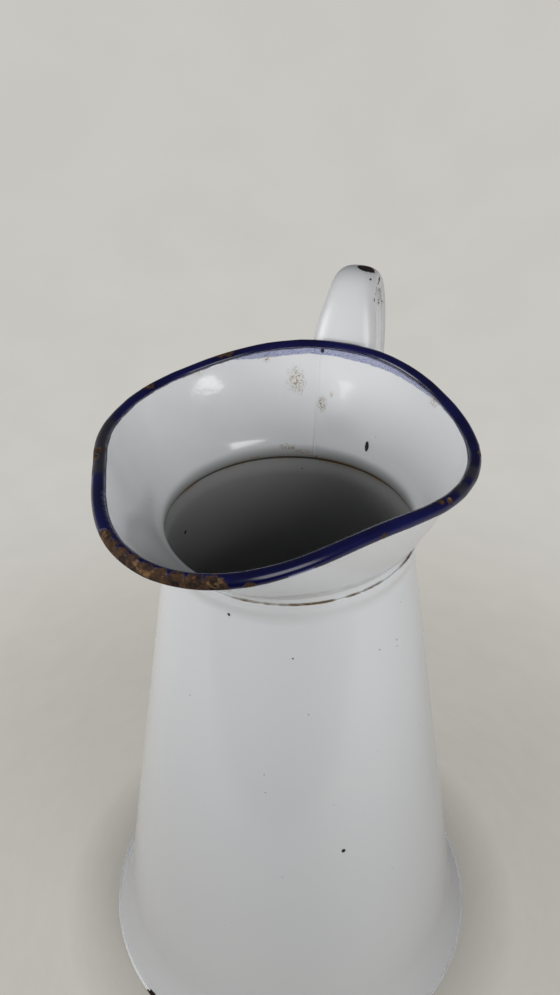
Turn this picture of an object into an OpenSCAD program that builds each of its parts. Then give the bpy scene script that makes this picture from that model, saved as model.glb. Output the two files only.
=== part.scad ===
// Enamelled steel pitcher: a rolled conical body on a flared foot, a base pan seamed into the foot,
// a wide spouted collar with a wired rim, and a hollow ear-shaped handle.
// Z is up. The foot stands on z = 0, the spout points along -Y and the handle along +Y.

/* [Body] */
// Height of the seam where the collar leaves the body
seam_h = 272.5; // [240:0.5:300]
// Inside diameter of the throat
throat_d = 108; // [100:1:112]
// Outside diameter of the cone at the top of the flared foot
cone_base_d = 186; // [175:1:192]
// Outside diameter over the foot's hem
foot_d = 208; // [204:1:216]
// Height of the flared foot
foot_h = 30; // [24:1:40]
// Thickness of the steel with its enamel
sheet_t = 0.9; // [0.7:0.1:1.2]

/* [Neck joint] */
// How far the top of the body is belled out to take the collar
bell_step = 0.8; // [0.5:0.1:2]
// Height of the belled band
bell_h = 3; // [2:0.5:10]
// Height over which the cone opens out into the belled band
bell_blend_h = 9; // [3:0.5:14]
// How deep the collar's neck band sits in the body
neck_depth = 1.5; // [1:0.5:6]

/* [Base pan] */
// Height of the pan's underside above the surface the pitcher stands on
pan_recess = 7; // [6:0.5:12]
// Radius of the bend between the pan and its flange
pan_bend = 3; // [2:0.5:4]
// Height of the hem folded up round the foot
hem_h = 4; // [3:0.5:6]

/* [Rim] */
// Reach of the rim at the spout, from the axis
spout_reach = 104; // [92:0.5:112]
// Reach of the rim at each side
side_reach = 74.8; // [70:0.1:80]
// Reach of the rim at the back
back_reach = 67.3; // [64:0.1:72]
// Height of the rim above the seam at the spout
spout_rise = 49; // [40:0.5:56]
// Height of the rim above the seam at its low sides
side_rise = 41.5; // [36:0.5:46]
// Height of the rim above the seam at the back
back_rise = 51.8; // [48:0.1:54]
// How narrow the spout is in plan: a larger number gives a narrower spout
spout_narrowness = 6.6; // [3:0.1:9]
// How square the back is in plan: a larger number gives a flatter back
back_squareness = 5.6; // [2.5:0.1:8]
// How soon the rim climbs from its low sides towards the spout
spout_climb = 4.6; // [2:0.1:8]
// How soon the rim climbs from its low sides towards the back
back_climb = 2.4; // [2:0.1:6]
// Diameter of the rolled rim
rim_d = 5.4; // [4.8:0.1:6.4]
// How far round the wire the sheet is curled
curl_angle = 304; // [260:1:306]

/* [Collar] */
// Height of the neck band above the seam
neck_band_h = 0.5; // [0.5:0.5:4]
// Length of each half of the bend between the neck band and the funnel
neck_bend_h = 3; // [2:0.5:6]
// How far the funnel swells out halfway between the neck and the rim
wall_swell = 1.5; // [0:0.5:3]

/* [Handle] */
// Scale of the handle's width
handle_width_scale = 1; // [0.9:0.01:1.1]
// Squareness of the handle's crowned face: 2 is half round and 4 is nearly square
face_squareness = 2.5; // [2:0.1:4]
// How far the strip that closes the handle sits inside its flanks
strip_inset = 0.8; // [0.4:0.1:2]
// How far the handle stands round from the spout's line, as it was welded on by hand
handle_turn = 2; // [0:0.5:4]

/* [Hidden] */
$fn = 160;
clear = 0.1;                                        // air left between curved pieces that only touch
angle_gap = 0.2;                                    // least turn between neighbouring points of an arc
fold_r = 1.4;                                       // radius of the fold at the foot's edge

enamel_white = "#e9ebed";
enamel_blue = "#1d2268";
steel_grey = "#8a8c8e";

// ---------- Small helpers ----------
function mix(a, b, k) = a + (b - a) * k;
function ease(k) = k * k * (3 - 2 * k);
function reversed(list) = [for (i = [len(list) - 1:-1:0]) list[i]];
function unit(v) = v / norm(v);

// A path moved sideways by d, to the left of its direction
function beside(path, d) = [for (i = [0:len(path) - 1])
    let (t = path[min(i + 1, len(path) - 1)] - path[max(i - 1, 0)])
    path[i] + d * [-t.y, t.x] / norm(t)];

// A skin over rings with the same number of points: closed into a loop, or with both ends capped
module skin(rings, loop = false) {
    n = len(rings[0]);
    count = len(rings);
    spans = loop ? count : count - 1;
    sides = [for (i = [0:spans - 1], j = [0:n - 1])
        let (a = i * n, b = ((i + 1) % count) * n, k = (j + 1) % n)
        each [[a + j, b + k, a + k], [a + j, b + j, b + k]]];
    caps = loop ? [] : [[for (j = [0:n - 1]) j], [for (j = [n - 1:-1:0]) (count - 1) * n + j]];
    polyhedron([for (ring = rings) each ring], concat(sides, caps), convexity = 6);
}

// ---------- Body: a cone on a flared foot, belled at the top ----------
throat_r = throat_d / 2;
neck_r = throat_r + sheet_t;                        // outside of the collar's neck band
band_r = neck_r + sheet_t;                          // outside of the belled band
bell_z = seam_h - bell_h;
cone_top = [band_r - bell_step, bell_z - bell_blend_h];
cone_base = [cone_base_d / 2, foot_h];
cone_angle = atan2(cone_base.x - cone_top.x, cone_top.y - cone_base.y);

// The foot flares on one arc that leaves the cone smoothly and ends above the hem's two thicknesses
hem_thickness = 2 * sheet_t + clear;
foot_edge = [foot_d / 2 - sheet_t, hem_thickness];
flare_angle = 2 * atan2(foot_edge.x - cone_base.x, cone_base.y - foot_edge.y) - cone_angle;
flare_r = (cone_base.y - foot_edge.y) / (sin(flare_angle) - sin(cone_angle));
flare_centre = cone_base + flare_r * [cos(cone_angle), sin(cone_angle)];

// A point of the flare at angle a, lying a given depth under the body's outside
function flare_point(a, depth = 0) = flare_centre - (flare_r + depth) * [cos(a), sin(a)];
flare_steps = 12;
flare_angles = [for (i = [0:flare_steps]) mix(flare_angle, cone_angle, i / flare_steps)];
function flare_line(angles, depth) = [for (a = angles) flare_point(a, depth)];

module body() {
    bell = [for (k = [0:0.125:1])
        let (climb = k * bell_blend_h)
        [mix(cone_top.x - climb * tan(cone_angle), band_r, ease(k)), cone_top.y + climb]];
    lip = [for (a = [0:30:180])
        [band_r - sheet_t / 2 + sheet_t / 2 * cos(a), seam_h - sheet_t / 2 + sheet_t / 2 * sin(a)]];
    color(enamel_white)
        rotate_extrude()
            polygon(concat(
                flare_line(flare_angles, 0),
                bell,
                lip,
                reversed(beside(bell, sheet_t)),
                flare_line(reversed(flare_angles), sheet_t)));
}

// ---------- Base pan: a raised disc, a flange inside the foot and a hem folded round its edge ----------
module base_pan() {
    pan_top = pan_recess + sheet_t;
    bend_angle = asin((flare_centre.y - pan_top + pan_bend) / (flare_r + sheet_t + pan_bend));
    bend_centre = flare_point(bend_angle, sheet_t + pan_bend);
    bend = [for (i = [0:6]) let (a = mix(90, bend_angle, i / 6)) [cos(a), sin(a)]];
    flange = [for (a = flare_angles) if (a > bend_angle + angle_gap) a];
    hem = [for (a = flare_angles) if (flare_point(a).y < hem_h) a];
    fold = [for (a = [0:-30:-90]) [foot_d / 2 - fold_r * (1 - cos(a)), fold_r * (1 + sin(a))]];
    fold_end = [flare_point(flare_angle, 2 * sheet_t).x, 0];
    color(enamel_white)
        rotate_extrude()
            polygon(concat(
                [[0, pan_recess], [0, pan_top]],
                [for (p = bend) bend_centre + pan_bend * p],
                flare_line(reversed(flange), sheet_t),
                flare_line(hem, 0),
                flare_line(reversed(hem), -sheet_t),
                fold,
                [fold_end],
                flare_line(flange, 2 * sheet_t),
                [for (p = reversed(bend)) bend_centre + (pan_bend - sheet_t) * p]));
}

// ---------- Rim: one closed curve in space, with a is 0 at the spout and 180 at the handle ----------
rim_stations = 80;
rim_step = 360 / rim_stations;

function towards(a) = [sin(a), -cos(a), 0];
function at_spout(a) = cos(a) > 0;
function rim_reach(a) = at_spout(a)
    ? mix(side_reach, spout_reach, pow(cos(a), spout_narrowness))
    : mix(side_reach, back_reach, 1 - pow(abs(sin(a)), back_squareness));
function rim_rise(a) = at_spout(a)
    ? mix(side_rise, spout_rise, 1 - pow(abs(sin(a)), spout_climb))
    : mix(side_rise, back_rise, 1 - pow(abs(sin(a)), back_climb));
function rim_centre(a) = rim_reach(a) * towards(a) + [0, 0, seam_h + rim_rise(a)];
function rim_outward(a) =
    let (t = rim_centre(a + angle_gap) - rim_centre(a - angle_gap))
    unit([t.y, -t.x, 0]);

// ---------- Collar wall: each line bends out of the neck, swells, and ends tangent to the rolled rim ----------
rim_radius = rim_d / 2;
wall_start_z = seam_h + neck_band_h;
function wall_start(a) = throat_r * towards(a) + [0, 0, wall_start_z];
function wall_bend(a) = wall_start(a) + [0, 0, neck_bend_h];

// The point that pulls the wall's line outwards, square to the straight way from the bend to the rim
function wall_pull(a) =
    let (rise = rim_centre(a) - wall_bend(a),
         out = rise * rim_outward(a))
    wall_bend(a) + rise / 2 + wall_swell * unit(rise.z * rim_outward(a) - [0, 0, out]);

// Lean of the wall's last stretch from upright
function wall_lean(a) =
    let (rise = rim_centre(a) - wall_pull(a),
         out = rise * rim_outward(a))
    atan2(out, rise.z) - asin(rim_radius / norm([out, rise.z]));
function wall_end(a) =
    rim_centre(a) + rim_radius * (sin(wall_lean(a)) * [0, 0, 1] - cos(wall_lean(a)) * rim_outward(a));

// A curve that leaves p[0] towards p[1] and ends at p[2]: a point of it, and its direction there
function curve_point(p, u) = (1 - u) * (1 - u) * p[0] + 2 * u * (1 - u) * p[1] + u * u * p[2];
function curve_run(p, u) = (1 - u) * (p[1] - p[0]) + u * (p[2] - p[1]);

// The two curves of a wall's line: the bend at the neck and the swelling funnel
function wall_curves(a) =
    let (turn = wall_bend(a) + neck_bend_h * unit(wall_pull(a) - wall_bend(a)))
    [[wall_start(a), wall_bend(a), turn], [turn, wall_pull(a), wall_end(a)]];

// A point of the wall, a depth outside its inner face: t is 0 at the neck, 1 past the bend, 2 at the rim
function wall_point(a, t, depth = 0) =
    let (curve = wall_curves(a)[t < 1 ? 0 : 1],
         u = t < 1 ? t : t - 1,
         out = unit(mix(towards(a), rim_outward(a), t / 2)),
         run = curve_run(curve, u),
         lean = atan2(run * out, run.z))
    curve_point(curve, u) + depth * (cos(lean) * out - sin(lean) * [0, 0, 1]);

module collar() {
    wall_steps = [0, 0.25, 0.5, 0.75, 1, 1.25, 1.5, 1.75, 2];
    band_drop = [0, 0, neck_band_h + neck_depth];
    rings = [for (i = [0:rim_stations - 1]) let (a = i * rim_step)
        concat(
            [wall_start(a) - band_drop],
            [for (t = wall_steps) wall_point(a, t)],
            [for (t = reversed(wall_steps)) wall_point(a, t, sheet_t)],
            [wall_start(a) - band_drop + sheet_t * towards(a)])];
    color(enamel_white)
        skin(rings, loop = true);
}

// ---------- Rolled rim: the collar's edge curled outwards round a wire ----------
function rim_ring(a, r, angles) =
    [for (b = angles) rim_centre(a) + r * (cos(b) * rim_outward(a) + sin(b) * [0, 0, 1])];

module rim_roll() {
    curl_steps = 11;
    rings = [for (i = [0:rim_stations - 1])
        let (a = i * rim_step,
             start = 180 - wall_lean(a),
             curl = [for (k = [0:curl_steps]) start - curl_angle * k / curl_steps])
        concat(rim_ring(a, rim_radius, curl), rim_ring(a, rim_radius - sheet_t, reversed(curl)))];
    color(enamel_blue)
        skin(rings, loop = true);
}

module rim_wire() {
    wire_r = rim_radius - sheet_t - clear;
    color(steel_grey)
        skin([for (i = [0:rim_stations - 1]) rim_ring(i * rim_step, wire_r, [0:-45:-315])],
            loop = true);
}

// ---------- Handle: sections along the crown of its outer face ----------
// Each section: y, z, width, depth of the flanks, height of the crown, and bow, which is how far the
// edges lie behind the middle so that a flat end hugs the round wall that it is welded to
handle_sections = [
    [55.9, 278.5, 24, sheet_t, 0, -1.3],
    [58.1, 285, 29, sheet_t, 0, -1.8],
    [60, 291.8, 31, 1.4, 0.2, -1.9],
    [62, 299, 31, 4, 1, -1.4],
    [64.3, 307, 31, 6.8, 2.4, -0.6],
    [67.3, 315.5, 30.8, 9.2, 4.4, 0],
    [71, 324.2, 30, 10, 6, 0],
    [75.2, 334, 27.5, 10, 6.5, 0],
    [79.8, 342.5, 23.5, 10, 6.5, 0],
    [85.2, 349, 21.5, 10, 6.5, 0],
    [91.6, 352.2, 20.5, 10, 6.5, 0],
    [98.6, 352.4, 20, 10, 6.5, 0],
    [106.2, 350, 20, 10, 6.5, 0],
    [113.4, 344.2, 20, 10, 6.5, 0],
    [119.4, 334.5, 20, 10, 6.5, 0],
    [123.8, 320.5, 20, 10, 6.5, 0],
    [125.8, 303.5, 20, 10, 6.5, 0],
    [125.3, 284.5, 20, 10, 6.5, 0],
    [122.3, 263.8, 20, 10, 6.5, 0],
    [116.5, 243, 20, 10, 6.5, 0],
    [108, 223.3, 20.5, 9.5, 6, 0],
    [97.7, 205.5, 21, 8.5, 5, 0],
    [87.2, 190.5, 22, 6.8, 3.6, 0],
    [78.8, 179.5, 23.5, 3.8, 1.6, 0.4],
    [73.7, 170.5, 25, 1.2, 0.1, 1],
    [72.7, 161, 25, sheet_t, 0, 1.1],
    [74.2, 151, 20, sheet_t, 0, 0.7]];
section_last = len(handle_sections) - 1;
section_split = 2;                                  // rings between one section and the next
section_nudge = 0.05;                               // step, in sections, that gives a direction

// A smooth curve through all the sections, at position s counted in sections
function section_at(s) =
    let (i = min(floor(s), section_last - 1),
         k = s - i,
         p0 = handle_sections[max(i - 1, 0)], p1 = handle_sections[i],
         p2 = handle_sections[i + 1], p3 = handle_sections[min(i + 2, section_last)])
    p1 + k / 2 * (p2 - p0 + k * (2 * p0 - 5 * p1 + 4 * p2 - p3 + k * (3 * p1 - p0 - 3 * p2 + p3)));

// A point of section s: x across, and depth from the outer face towards the fingers
function handle_point(s, x, depth) =
    let (here = section_at(s),
         step = section_at(min(s + section_nudge, section_last)) - section_at(max(s - section_nudge, 0)),
         inward = unit([step.y, -step.x]),
         half = here[2] / 2,
         d = depth + here[5] * x * x / (half * half))
    [x * handle_width_scale, here.x + d * inward.x, here.y + d * inward.y];

// The crowned face as [share of the half width, share of the crown's height]
crown_outline = [for (b = [180:-18:0])
    [sign(cos(b)) * pow(abs(cos(b)), 2 / face_squareness), 1 - pow(sin(b), 2 / face_squareness)]];

module handle_strap() {
    rings = [for (i = [0:section_last * section_split])
        let (s = i / section_split,
             here = section_at(s),
             half = here[2] / 2,
             flank = max(here[3], sheet_t),
             crown = max(here[4], 0),
             hollow = half - sheet_t,
             squeeze = (flank - sheet_t) / flank)
        concat(
            [handle_point(s, -half, flank)],
            [for (p = crown_outline) handle_point(s, p.x * half, p.y * crown)],
            [handle_point(s, half, flank)],
            [handle_point(s, hollow, flank)],
            [for (p = reversed(crown_outline))
                handle_point(s, p.x * hollow, sheet_t + p.y * crown * squeeze)],
            [handle_point(s, -hollow, flank)])];
    color(enamel_white)
        rotate([0, 0, handle_turn])
            skin(rings);
}

module handle_back_strip() {
    first = 4.5;
    last = 22;
    count = (last - first) * section_split;
    rings = [for (i = [0:count])
        let (s = first + i / section_split,
             here = section_at(s),
             half = here[2] / 2 - sheet_t - clear / 2,
             low = here[3] - strip_inset)
        [for (p = [[-1, 0], [-1, 1], [1, 1], [1, 0]]) handle_point(s, p.x * half, low - p.y * sheet_t)]];
    color(enamel_white)
        rotate([0, 0, handle_turn])
            skin(rings);
}

body();
base_pan();
collar();
rim_roll();
rim_wire();
handle_strap();
handle_back_strip();
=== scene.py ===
# %% [markdown]
# # An enamelled pitcher
# The real thing is a farmhouse water and milk pitcher. A cone of sheet steel is rolled, seamed and flared
# into a foot, a funnel-shaped collar with a spout is pushed into its top, the collar's edge is curled round
# a wire, and a hollow ear-shaped handle is welded on behind. Then it is all dipped in white glass enamel,
# and the rim is painted with cobalt blue enamel and fired again.
#
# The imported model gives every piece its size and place. This script makes the pieces that show with
# smoother surfaces and gives them their finish: glossy glass, chips, rust and stains.

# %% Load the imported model
import math
import bpy
from mathutils import Matrix, Vector


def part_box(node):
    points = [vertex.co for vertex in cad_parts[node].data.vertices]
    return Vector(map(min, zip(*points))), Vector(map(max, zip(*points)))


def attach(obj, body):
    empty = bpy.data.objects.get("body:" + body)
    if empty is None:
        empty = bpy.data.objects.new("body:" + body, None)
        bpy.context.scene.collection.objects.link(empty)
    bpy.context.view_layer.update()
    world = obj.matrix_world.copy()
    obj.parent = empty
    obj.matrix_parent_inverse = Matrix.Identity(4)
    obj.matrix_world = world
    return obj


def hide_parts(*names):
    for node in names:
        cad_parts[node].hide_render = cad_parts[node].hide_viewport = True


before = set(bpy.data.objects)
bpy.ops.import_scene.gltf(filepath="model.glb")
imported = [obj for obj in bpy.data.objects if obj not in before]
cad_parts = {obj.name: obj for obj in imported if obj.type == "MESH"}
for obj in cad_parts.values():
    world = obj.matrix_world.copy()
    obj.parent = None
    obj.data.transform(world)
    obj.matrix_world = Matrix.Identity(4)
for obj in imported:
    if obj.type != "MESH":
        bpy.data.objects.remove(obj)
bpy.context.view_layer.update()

# %% [markdown]
# ## Camera
# The pitcher is seen from above and in front, turned a little so that the spout points to the left. The
# camera is close, as a person's eyes are above a table, so the foot looks narrow and the rim wide.
# Its place is written as a heading round the pitcher, a distance and a height, which are easier to change
# by eye than three coordinates.

# %% Camera
HEADING = math.radians(21.5)        # the camera stands this far round from the spout
DISTANCE = 0.3051                   # from the pitcher's axis, in metres
HEIGHT = 0.4963
TILT_DOWN = math.radians(34.8)
TURN_LEFT = math.radians(0.75)      # small corrections that a hand-held camera has
ROLL = math.radians(-0.55)
SENSOR_WIDTH, LENS = 36, 31.44      # in millimetres, a moderate wide angle

bpy.ops.object.camera_add(location=(DISTANCE * math.sin(HEADING), -DISTANCE * math.cos(HEADING), HEIGHT))
camera = bpy.context.object
camera.rotation_euler = (
    Matrix.Rotation(HEADING + TURN_LEFT, 3, "Z")
    @ Matrix.Rotation(math.pi / 2 - TILT_DOWN, 3, "X")
    @ Matrix.Rotation(ROLL, 3, "Z")
).to_euler()
camera.data.sensor_width = SENSOR_WIDTH
camera.data.lens = LENS
bpy.context.scene.camera = camera
bpy.context.scene.view_settings.view_transform = "Standard"
print("camera at", [round(x, 3) for x in camera.location])

# %% [markdown]
# ## Helpers
# Colours are written as they are seen, as sRGB hex values, and shaders want linear light, so one function
# converts them. One more function adds a shader node: its inputs are values or the outputs of other nodes,
# which reads like a formula and saves a line for every link.

# %% Helpers for materials
def colour(code):
    """Linear RGBA from an sRGB hex value such as #c9cbcd."""
    parts = [int(code[i:i + 2], 16) / 255 for i in (1, 3, 5)]
    return [p / 12.92 if p <= 0.04045 else ((p + 0.055) / 1.055) ** 2.4 for p in parts] + [1]


def add_node(tree, kind, inputs=None, out=0, **settings):
    """Adds a node and returns one of its outputs. An input is a value or another node's output."""
    node = tree.nodes.new("ShaderNode" + kind)
    for name, value in settings.items():
        setattr(node, name, value)
    for name, value in (inputs or {}).items():
        if isinstance(value, bpy.types.NodeSocket):
            tree.links.new(value, node.inputs[name])
        else:
            node.inputs[name].default_value = value
    return node.outputs[out]


def new_material(name):
    """An empty material with its output node, as (material, node tree, output node)."""
    material = bpy.data.materials.new(name)
    material.use_nodes = True
    material.node_tree.nodes.clear()
    output = material.node_tree.nodes.new("ShaderNodeOutputMaterial")
    return material, material.node_tree, output


def deselect_all():
    """Operators act on all that is selected, so nothing is left selected before a new piece."""
    if bpy.context.object and bpy.context.object.mode != "OBJECT":
        bpy.ops.object.mode_set(mode="OBJECT")
    bpy.ops.object.select_all(action="DESELECT")


def finish_piece(piece, name, slot, *nodes):
    """Names a finished piece, lets it ride on the pitcher and stand for its nodes of the model."""
    piece.name = name
    piece.data.name = name
    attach(piece, "root")
    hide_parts(*nodes)
    print(name, len(piece.data.polygons), "faces")
    return piece


# %% [markdown]
# ## Room and light
# Three softboxes stand in front, as in a small tabletop studio: one at each side, and a weaker one further
# off in the middle. They are only a little higher than the rim, and the room around is dim, darkest behind.
# That is why the top of the rim is nearly black while the walls are bright; the inside is dark from that
# and from its glass, which is painted grey as shade. The pitcher stands on a sheet of paper whose near edge
# lies about a hand's length in front of its foot, and the darker bench beyond that edge is what the glossy
# front reflects. The camera itself sees plain pale paper everywhere, with the pitcher's shadow on it near
# the foot, partly real light and shadow and partly a painted contact shadow.

# %% Floor
PAPER = "#e0dbd3"                   # the paper itself, as the lamps light it
PAPER_NEAR = "#b9b6af"              # what the camera sees of it: a little darker round the pitcher
PAPER_FAR = "#c8c6c1"               # and an even pale grey further off
BENCH = "#3c3b3a"                   # the bench, seen only in reflections
# distances from the pitcher's axis, in metres
TINTED = (0.2, 0.5)                 # over these the near tint turns into the far one
EVEN, SHADE_SHARE = (0.13, 0.36), 0.72      # nearer, part of what is seen is real light and shadow
# a painted contact shadow: the paper is darker where the foot touches it
CONTACT, CONTACT_SHADE = (0.103, 0.135), 0.6    # the paper is darker where the foot touches it
PAPER_EDGE, EDGE_BLUR = 0.271, 0.01
PAPER_EDGE_TURN = math.radians(13.5)
PAPER_SIZE = 30                     # so wide that its sides are never seen


def paper_material():
    """Matte backdrop paper: no gloss at all, with the bench only in what is reflected or bounced."""
    material, tree, output = new_material("backdrop_paper")
    place = add_node(tree, "TexCoord", out="Object")
    distance = add_node(tree, "VectorMath", {0: place}, out="Value", operation="LENGTH")
    even = add_node(tree, "MapRange", {
        "Value": distance, "From Min": EVEN[0], "From Max": EVEN[1], "To Min": SHADE_SHARE,
    }, interpolation_type="SMOOTHSTEP")
    far = add_node(tree, "MapRange", {
        "Value": distance, "From Min": TINTED[0], "From Max": TINTED[1],
    }, interpolation_type="SMOOTHSTEP")
    seen_tint = add_node(tree, "MixRGB", {
        "Fac": far, "Color1": colour(PAPER_NEAR), "Color2": colour(PAPER_FAR)})
    # a mottle that grows coarser with distance, so it is laid out by direction and nearness
    heading = add_node(tree, "VectorMath", {0: place}, operation="NORMALIZE")
    nearness = add_node(tree, "Math", {0: 0.5, 1: distance}, operation="DIVIDE")
    lift = add_node(tree, "CombineXYZ", {"Z": nearness})
    folded = add_node(tree, "VectorMath", {0: heading, 1: lift}, operation="ADD")
    mottle = add_node(tree, "TexNoise", {"Vector": folded, "Scale": 9.0, "Detail": 4.0}, out="Fac")
    shade = add_node(tree, "MapRange", {"Value": mottle, "To Min": 0.95, "To Max": 1.05})
    # painted contact shadow round the foot, darkening what the camera sees of the paper
    contact_shadow = add_node(tree, "MapRange", {
        "Value": distance, "From Min": CONTACT[0], "From Max": CONTACT[1], "To Min": CONTACT_SHADE})
    shade = add_node(tree, "Math", {0: shade, 1: contact_shadow}, operation="MULTIPLY")
    ahead = (math.sin(PAPER_EDGE_TURN), -math.cos(PAPER_EDGE_TURN), 0)
    reach = add_node(tree, "VectorMath", {0: place, 1: ahead}, out="Value", operation="DOT_PRODUCT")
    past = add_node(tree, "MapRange", {
        "Value": reach, "From Min": PAPER_EDGE, "From Max": PAPER_EDGE + EDGE_BLUR})
    seen = add_node(tree, "LightPath", out="Is Camera Ray")
    mirrored = add_node(tree, "LightPath", out="Is Glossy Ray")
    hidden = add_node(tree, "Math", {0: 1.0, 1: seen}, operation="SUBTRACT")
    bench = add_node(tree, "Math", {0: past, 1: hidden}, operation="MULTIPLY")
    open_paper = add_node(tree, "Math", {0: 1.0, 1: bench}, operation="SUBTRACT")
    tint = add_node(tree, "MixRGB", {"Fac": bench, "Color1": colour(PAPER), "Color2": colour(BENCH)})
    paper = add_node(tree, "BsdfDiffuse", {"Color": tint})
    glow = add_node(tree, "Emission", {"Color": seen_tint, "Strength": shade})
    looked_at = add_node(tree, "Math", {0: seen, 1: mirrored}, operation="ADD")
    lit = add_node(tree, "Math", {0: even, 1: looked_at}, operation="MULTIPLY")
    lit = add_node(tree, "Math", {0: lit, 1: open_paper}, operation="MULTIPLY")
    tree.links.new(add_node(tree, "MixShader", {"Fac": lit, 1: paper, 2: glow}), output.inputs["Surface"])
    return material


deselect_all()
bpy.ops.mesh.primitive_plane_add(size=PAPER_SIZE)
floor = bpy.context.object
floor.name = "floor"
floor.data.materials.append(paper_material())
print("paper ends", PAPER_EDGE, "m in front of the pitcher's axis, in reflections only")

# %% World and lamps
ROOM_FRONT = 0.2                    # light from the camera's side of the room
ROOM_BACK = 0.1                     # and from behind the pitcher
LAMP_AIM = Vector((0, 0, 0.25))     # the lamps look at the pitcher's neck


def light_room():
    """A dim room as ambient light, lighter in front. The camera sees it as pale grey as the far paper."""
    world = bpy.data.worlds.new("room")
    bpy.context.scene.world = world
    world.use_nodes = True
    tree = world.node_tree
    tree.nodes.clear()
    output = tree.nodes.new("ShaderNodeOutputWorld")
    direction = add_node(tree, "TexCoord", out="Generated")
    back = add_node(tree, "SeparateXYZ", {0: direction}, out="Y")
    level = add_node(tree, "MapRange", {
        "Value": back, "From Min": -1.0, "From Max": 1.0, "To Min": ROOM_FRONT, "To Max": ROOM_BACK})
    room = add_node(tree, "Background", {"Color": colour("#fbfcff"), "Strength": level})
    wall = add_node(tree, "Background", {"Color": colour(PAPER_FAR), "Strength": 1.0})
    seen = add_node(tree, "LightPath", out="Is Camera Ray")
    mixed = add_node(tree, "MixShader", {"Fac": seen, 1: room, 2: wall})
    tree.links.new(mixed, output.inputs["Surface"])


def add_softbox(name, heading, distance, height, width, tall, power):
    """A rectangular area lamp, placed by its heading from the spout in degrees."""
    turn = math.radians(heading)
    place = Vector((distance * math.sin(turn), -distance * math.cos(turn), height))
    bpy.ops.object.light_add(type="AREA", location=place)
    lamp = bpy.context.object
    lamp.name = name
    lamp.data.shape = "RECTANGLE"
    lamp.data.size = width
    lamp.data.size_y = tall
    lamp.data.energy = power
    lamp.rotation_euler = (LAMP_AIM - place).to_track_quat("-Z", "Y").to_euler()
    print(name, power, "W at", [round(x, 2) for x in place])


light_room()
add_softbox("softbox_left", heading=-60, distance=0.5, height=0.45, width=0.22, tall=0.22, power=1.6)
add_softbox("softbox_right", heading=58, distance=0.55, height=0.5, width=0.3, tall=0.34, power=2.1)
add_softbox("softbox_front", heading=-20, distance=0.9, height=0.48, width=0.2, tall=0.3, power=0.5)

# %% [markdown]
# ## Sizes
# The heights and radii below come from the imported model's boxes where a box gives them. The collar and
# the rim follow one rule each, so their numbers are the driving sizes that the model is built from.

# %% Sizes
MM = 0.001
SHEET = 0.9 * MM                    # thickness of the steel with its glass
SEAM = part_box("body")[1].z
FOOT_EDGE = (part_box("body")[1].x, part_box("body")[0].z)
SIDES = 192                         # points round a turned wall
print("seam at", round(SEAM / MM, 1), "mm, foot's radius", round(FOOT_EDGE[0] / MM, 1), "mm")


def mix(a, b, k):
    """The value a share k of the way from a to b."""
    return a + (b - a) * k


def ease(k):
    """A share that starts and ends slowly."""
    return k * k * (3 - 2 * k)


# %% [markdown]
# ## Body
# The body is turned, so it starts as a circle that is drawn up ring by ring: out of the foot's flare, up
# the cone, out over the belled band that takes the collar. Only the outer face is drawn. A Solidify
# modifier then gives the sheet its thickness, and its second material slot to the inner face. A Bevel
# rounds its cut edge, as enamel does when it melts.

# %% Outline of the body
CONE_BASE = (93 * MM, 30 * MM)      # where the flare becomes the cone, as radius and height
BAND_R = 55.8 * MM                  # outside of the belled band
BELL_BLEND = 9 * MM                 # height over which the cone opens out into the belled band
BAND_START = SEAM - 3 * MM          # the bell is complete from here up to the seam
CONE_TOP = (55 * MM, BAND_START - BELL_BLEND)
FLARE_RINGS, CONE_RINGS, BELL_RINGS, BAND_RINGS = 16, 28, 12, 3


def body_outline():
    """The body's outer face as (radius, height), from the foot up to the seam."""
    cone_angle = math.atan2(CONE_BASE[0] - CONE_TOP[0], CONE_TOP[1] - CONE_BASE[1])
    spread = math.atan2(FOOT_EDGE[0] - CONE_BASE[0], CONE_BASE[1] - FOOT_EDGE[1])
    flare_angle = 2 * spread - cone_angle
    flare_r = (CONE_BASE[1] - FOOT_EDGE[1]) / (math.sin(flare_angle) - math.sin(cone_angle))
    centre = (CONE_BASE[0] + flare_r * math.cos(cone_angle), CONE_BASE[1] + flare_r * math.sin(cone_angle))
    turns = [mix(flare_angle, cone_angle, i / FLARE_RINGS) for i in range(FLARE_RINGS + 1)]
    flare = [(centre[0] - flare_r * math.cos(a), centre[1] - flare_r * math.sin(a)) for a in turns]
    cone = [tuple(mix(b, t, i / CONE_RINGS) for b, t in zip(CONE_BASE, CONE_TOP))
            for i in range(1, CONE_RINGS)]
    climbs = [BELL_BLEND * i / BELL_RINGS for i in range(BELL_RINGS + 1)]
    bell = [(mix(CONE_TOP[0] - climb * math.tan(cone_angle), BAND_R, ease(climb / BELL_BLEND)),
             CONE_TOP[1] + climb) for climb in climbs]
    band = [(BAND_R, mix(BAND_START, SEAM, i / BAND_RINGS)) for i in range(1, BAND_RINGS + 1)]
    return flare + cone + bell + band


# %% Draw the body
def draw_up(outline):
    """A circle primitive extruded ring by ring through the outline's radii and heights."""
    deselect_all()
    bpy.ops.mesh.primitive_circle_add(vertices=SIDES, radius=outline[0][0], location=(0, 0, outline[0][1]))
    bpy.ops.object.transform_apply()
    bpy.ops.object.mode_set(mode="EDIT")
    bpy.ops.mesh.select_all(action="SELECT")
    for (radius, height), (next_radius, next_height) in zip(outline, outline[1:]):
        bpy.ops.mesh.extrude_region_move(TRANSFORM_OT_translate={"value": (0, 0, next_height - height)})
        share = next_radius / radius
        bpy.ops.transform.resize(value=(share, share, 1))
    bpy.ops.mesh.select_all(action="SELECT")
    bpy.ops.mesh.normals_make_consistent(inside=False)
    bpy.ops.object.mode_set(mode="OBJECT")
    return bpy.context.object


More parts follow.
